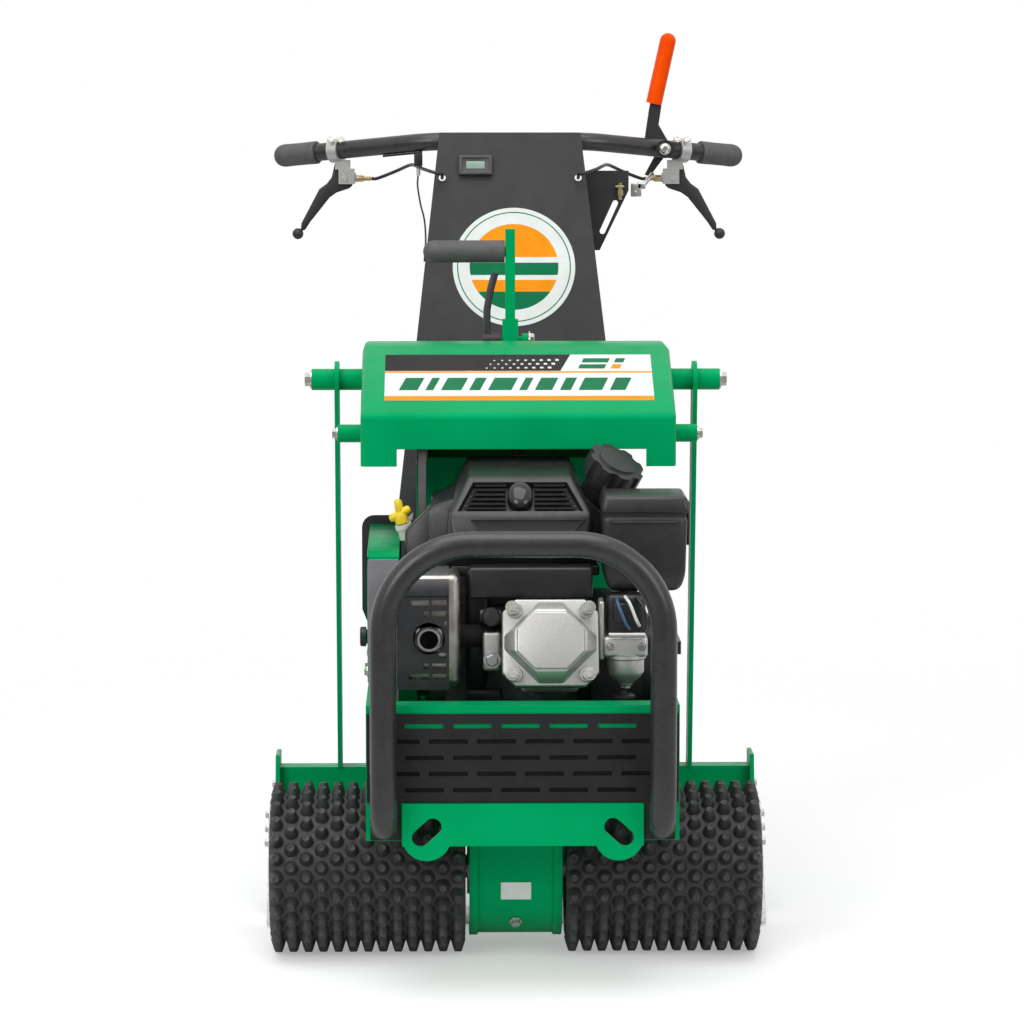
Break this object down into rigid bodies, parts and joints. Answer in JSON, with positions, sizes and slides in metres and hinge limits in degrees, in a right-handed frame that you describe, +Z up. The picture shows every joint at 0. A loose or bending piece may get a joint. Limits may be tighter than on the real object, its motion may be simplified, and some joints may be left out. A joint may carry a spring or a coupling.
{
  "type": "sod cutter",
  "caption": "Walk-behind sod cutter with studded drive drums, a front engine, a swinging U-shaped blade, a depth lever, a rear caster and an upright handle.",
  "frame": {"origin": "on the floor, under the middle of the whole machine's box", "axes": "-Y is the machine's front, +X is to the right of a person facing that front, +Z is up"},
  "size_m": [0.677, 1.09, 1.1723],
  "materials": {
    "green_paint": "semi-gloss powder coat",
    "black_paint": "satin powder coat",
    "dark_sheet": "semi-gloss paint",
    "tyre_rubber": "matt rubber",
    "rubber": "matt rubber",
    "steel": "machined",
    "zinc": "zinc plated",
    "brass": "yellow passivated",
    "cast_alloy": "as cast",
    "black_plastic": "fine texture",
    "orange_plastic": "smooth",
    "yellow_plastic": "smooth",
    "blade_steel": "ground",
    "cast_iron": "as cast"
  },
  "bodies": {
    "machine": {"main_frame": "green_paint", "tower": "green_paint", "front_bumper": "black_paint", "tie_down_plate": "green_paint", "front_grille": "black_paint", "chain_case": "green_paint", "axle_bearings": "steel", "flange_bolts": "zinc", "drive_box": "green_paint", "belt_guard": "green_paint", "guard_plate": "dark_sheet", "hydro_pump": "cast_alloy", "drive_chain": "steel", "drive_belts": "rubber", "handle_panel": "black_paint", "handlebar": "black_paint", "handle_grips": "rubber", "hour_meter": "black_plastic", "lever_perches": "cast_alloy", "barrel_adjusters": "brass", "clutch_cables": "black_plastic", "lever_bracket": "black_paint", "engine_block": "cast_alloy", "cylinder_head": "cast_alloy", "valve_cover": "cast_alloy", "muffler": "steel", "muffler_guard": "black_paint", "carburettor": "cast_alloy", "air_cleaner": "black_plastic", "engine_cover": "black_plastic", "blower_housing": "black_paint", "spark_plug_boot": "rubber"},
    "axle": {"axle_shaft": "steel", "wheel_drums": "steel", "studded_tyres": "tyre_rubber"},
    "output": {"output_sprocket": "steel"},
    "crank": {"crankshaft": "cast_iron", "drive_pulley": "steel"},
    "eccentric": {"eccentric_shaft": "steel", "eccentric_pulley": "cast_iron"},
    "pump_input": {"pump_pulley": "cast_iron"},
    "cutter": {"rocker_shaft": "steel", "swing_arms": "green_paint", "cutter_beam": "green_paint", "sod_blade": "blade_steel", "cutter_bolts": "zinc"},
    "pitman": {"pitman_rod": "cast_iron"},
    "depth": {"depth_lever": "green_paint", "depth_grip": "rubber", "caster_arm": "green_paint"},
    "latch": {"depth_latch": "black_paint"},
    "fork": {"caster_fork": "black_paint"},
    "caster": {"caster_wheel": "tyre_rubber"},
    "left_clutch": {"left_clutch_lever": "black_paint"},
    "right_clutch": {"right_clutch_lever": "black_paint"},
    "speed": {"speed_lever": "black_paint", "speed_grip": "orange_plastic"},
    "fuel_cap": {"fuel_cap": "black_plastic"},
    "dipstick": {"dipstick": "yellow_plastic"},
    "starter": {"starter_grip": "black_plastic"}
  },
  "joints": [
    {"name": "drive_axle", "type": "hinge", "parent": "machine", "child": "axle", "pos_m": [-0.005, -0.239, 0.108], "axis": [1, 0, 0], "continuous": true},
    {"name": "output_shaft", "type": "hinge", "parent": "machine", "child": "output", "pos_m": [-0.005, -0.014, 0.296], "axis": [1, 0, 0], "continuous": true},
    {"name": "crankshaft_spin", "type": "hinge", "parent": "machine", "child": "crank", "pos_m": [0, -0.234, 0.36], "axis": [1, 0, 0], "continuous": true},
    {"name": "eccentric_spin", "type": "hinge", "parent": "machine", "child": "eccentric", "pos_m": [0, -0.159, 0.655], "axis": [1, 0, 0], "continuous": true},
    {"name": "pump_spin", "type": "hinge", "parent": "machine", "child": "pump_input", "pos_m": [0, -0.024, 0.318], "axis": [1, 0, 0], "continuous": true},
    {"name": "cutter_swing", "type": "hinge", "parent": "machine", "child": "cutter", "pos_m": [0, -0.039, 0.715], "axis": [1, 0, 0], "range_deg": [-1.4, 1.4]},
    {"name": "pitman_pivot", "type": "hinge", "parent": "cutter", "child": "pitman", "pos_m": [0, -0.039, 0.655], "axis": [1, 0, 0], "range_deg": [-1.4, 1.4]},
    {"name": "depth_lever", "type": "hinge", "parent": "machine", "child": "depth", "pos_m": [0, 0.111, 0.33], "axis": [-1, 0, 0], "range_deg": [0, 18]},
    {"name": "depth_latch", "type": "hinge", "parent": "depth", "child": "latch", "pos_m": [0, 0.119, 0.756], "axis": [-1, 0, 0], "range_deg": [0, 10], "stiffness_Nm_per_rad": 0.6},
    {"name": "caster_swivel", "type": "hinge", "parent": "depth", "child": "fork", "pos_m": [0, 0.251, 0.26], "axis": [0, 0, 1], "continuous": true},
    {"name": "caster_roll", "type": "hinge", "parent": "fork", "child": "caster", "pos_m": [0, 0.296, 0.095], "axis": [1, 0, 0], "continuous": true},
    {"name": "left_clutch", "type": "hinge", "parent": "machine", "child": "left_clutch", "pos_m": [-0.236, 0.48798, 0.96428], "axis": [0, 1, 0], "range_deg": [0, 28], "stiffness_Nm_per_rad": 0.8},
    {"name": "right_clutch", "type": "hinge", "parent": "machine", "child": "right_clutch", "pos_m": [0.236, 0.48798, 0.96428], "axis": [0, -1, 0], "range_deg": [0, 28], "stiffness_Nm_per_rad": 0.8},
    {"name": "speed_lever", "type": "hinge", "parent": "machine", "child": "speed", "pos_m": [0.222, 0.47374, 1.007], "axis": [0, 1, 0], "range_deg": [-25, 20]},
    {"name": "fuel_cap_turn", "type": "hinge", "parent": "machine", "child": "fuel_cap", "pos_m": [0.112, -0.263, 0.608], "axis": [0.4182, -0.3983, 0.8164], "range_deg": [0, 270]},
    {"name": "dipstick_pull", "type": "slide", "parent": "machine", "child": "dipstick", "axis": [-0.2694, -0.0998, 0.9578], "range_m": [0, 0.12]},
    {"name": "starter_pull", "type": "slide", "parent": "machine", "child": "starter", "axis": [1, 0, 0], "range_m": [0, 0.4], "stiffness_N_per_m": 25}
  ],
  "couplings": [
    {"joint": "output_shaft", "follows": "drive_axle", "ratio": 2},
    {"joint": "eccentric_spin", "follows": "crankshaft_spin", "ratio": 0.75758},
    {"joint": "pump_spin", "follows": "crankshaft_spin", "ratio": 0.64103},
    {"joint": "pitman_pivot", "follows": "cutter_swing", "ratio": -1}
  ]
}
